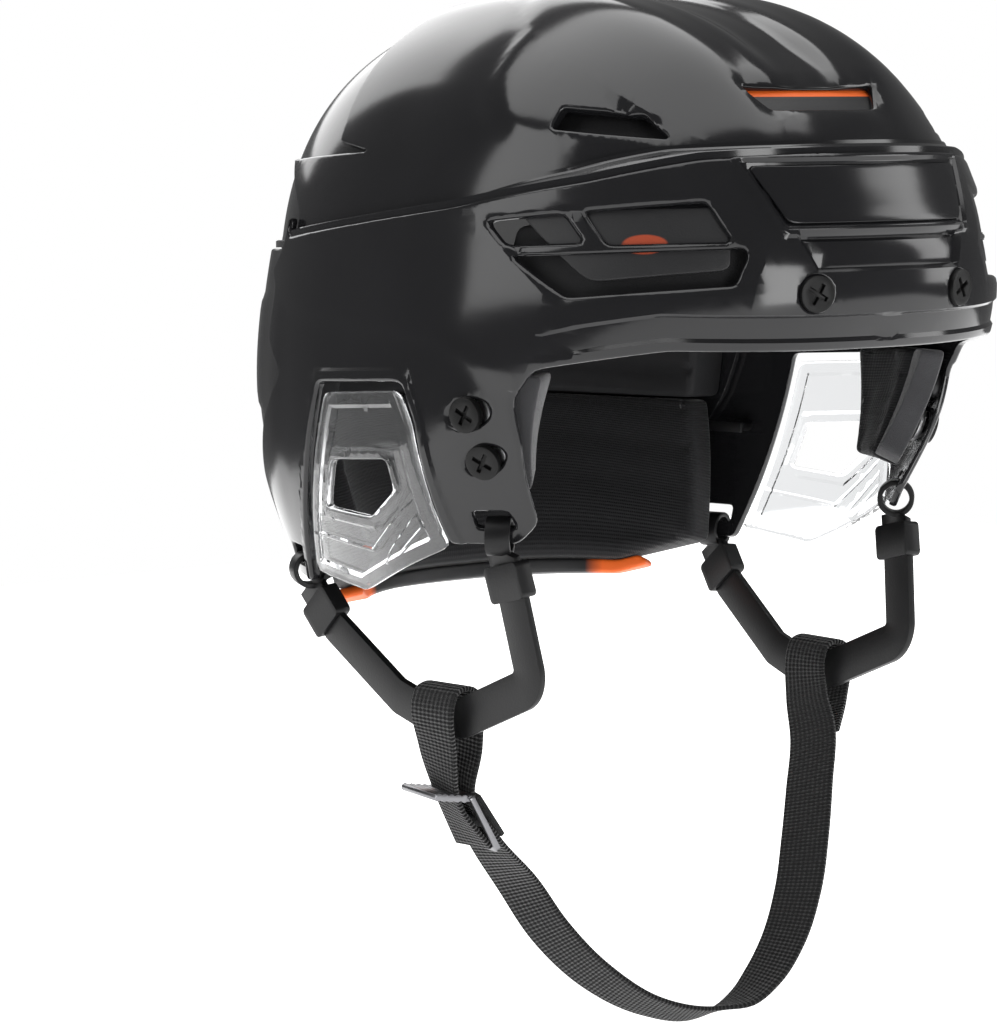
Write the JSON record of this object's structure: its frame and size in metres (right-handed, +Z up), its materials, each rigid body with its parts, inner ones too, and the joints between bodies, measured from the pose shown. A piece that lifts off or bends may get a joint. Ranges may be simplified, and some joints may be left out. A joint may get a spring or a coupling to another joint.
{
  "type": "ice hockey helmet",
  "caption": "Two-piece hockey helmet with padded liner, clear ear guards, moulded strap yokes, webbing chin strap with slide buckle and a rear size dial",
  "frame": {"origin": "middle plane of the helmet, at the height of the brow rim and at mid length, where the head sits", "axes": "+Z up, -Y to the front of the head, +X to the wearer's left"},
  "size_m": [0.2138, 0.2876, 0.3522],
  "materials": {
    "shell": "gloss black moulded polyethylene",
    "plate": "gloss black moulded plastic",
    "insert": "orange moulded foam and plastic trim",
    "liner": "matte black expanded foam",
    "pad": "black fabric faced comfort foam",
    "felt": "dark grey brushed felt",
    "guard": "clear polycarbonate",
    "screw": "black coated steel",
    "nut": "zinc plated steel",
    "dial": "matte black moulded nylon",
    "strap": "satin black moulded plastic",
    "webbing": "black ribbed nylon webbing",
    "buckle": "nickel plated steel"
  },
  "bodies": {
    "front_half": {"front_shell": "shell", "brow_plate": "plate", "forehead_liner": "liner", "brow_comfort_pad": "pad", "side_vent_insert_left": "insert", "side_vent_insert_right": "insert", "front_vent_insert": "insert", "front_crown_liner": "liner", "temple_pad_left": "pad", "temple_pad_right": "pad", "temple_felt_left": "felt", "temple_felt_right": "felt", "ear_guard_left": "guard", "ear_guard_right": "guard", "forehead_screws": "screw", "forehead_nuts": "nut", "side_screws": "screw", "side_nuts": "nut", "size_tape_left": "strap", "size_tape_right": "strap"},
    "rear_half": {"rear_shell": "shell", "rear_crown_liner": "liner", "rear_liner": "liner", "nape_pad": "pad", "nape_trim": "insert", "dial_housing": "dial"},
    "dial": {"size_dial": "dial", "dial_pinion": "dial"},
    "right_yoke": {"yoke_right": "strap", "keeper_front_right": "strap", "keeper_rear_right": "strap"},
    "left_yoke": {"yoke_left": "strap", "keeper_front_left": "strap", "keeper_rear_left": "strap"},
    "chin_strap": {"chin_webbing": "webbing", "webbing_tail": "webbing", "slide_buckle": "buckle"}
  },
  "joints": [
    {"name": "size_slide", "type": "slide", "parent": "front_half", "child": "rear_half", "axis": [0, -1, 0], "range_m": [0, 0.015], "deforming": ["size_tape_left", "size_tape_right"]},
    {"name": "dial_turn", "type": "hinge", "parent": "rear_half", "child": "dial", "pos_m": [0, 0.13112, -0.04846], "axis": [0, 0.876, -0.4824], "range_deg": [-192, 0]},
    {"name": "right_yoke_swing", "type": "hinge", "parent": "front_half", "child": "right_yoke", "pos_m": [-0.08603, -0.0486, -0.05687], "axis": [-0.0431, 0.9792, -0.1984], "range_deg": [-6, 6]},
    {"name": "left_yoke_swing", "type": "hinge", "parent": "front_half", "child": "left_yoke", "pos_m": [0.08603, -0.0486, -0.05687], "axis": [0.0431, 0.9792, -0.1984], "range_deg": [-6, 6]},
    {"name": "chin_swing", "type": "hinge", "parent": "right_yoke", "child": "chin_strap", "pos_m": [-0.082, -0.013, -0.117], "axis": [0, 1, 0], "range_deg": [-7, 7]}
  ],
  "couplings": [
    {"joint": "dial_turn", "follows": "size_slide", "rad_per_m": -222.2},
    {"joint": "left_yoke_swing", "follows": "right_yoke_swing", "ratio": 1},
    {"joint": "chin_swing", "follows": "right_yoke_swing", "ratio": -1.1}
  ]
}
